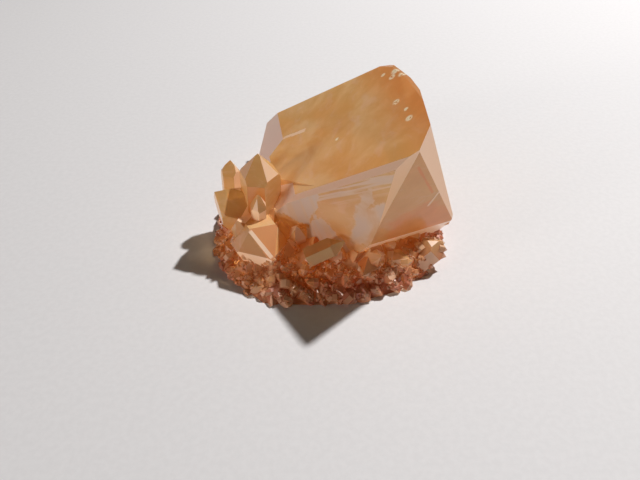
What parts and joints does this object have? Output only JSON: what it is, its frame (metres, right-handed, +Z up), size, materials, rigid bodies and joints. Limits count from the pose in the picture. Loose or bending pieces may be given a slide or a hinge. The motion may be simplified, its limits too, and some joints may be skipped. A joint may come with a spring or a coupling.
{
  "type": "quartz crystal",
  "caption": "Natural fairy quartz: a large amber crystal with a worn tip, ringed at its foot by a druse of small pointed crystals, with a flat base to stand on.",
  "frame": {"origin": "bottom centre of the bounding box, on the flat base", "axes": "+Z up from the flat base, +Y towards the back along the large crystal's longer side, +X to the right as seen from the front, where the worn tip is"},
  "size_m": [0.0508, 0.0542, 0.0337],
  "materials": {
    "quartz": "gloss"
  },
  "bodies": {
    "root": {"quartz_cluster": "quartz"}
  },
  "joints": []
}
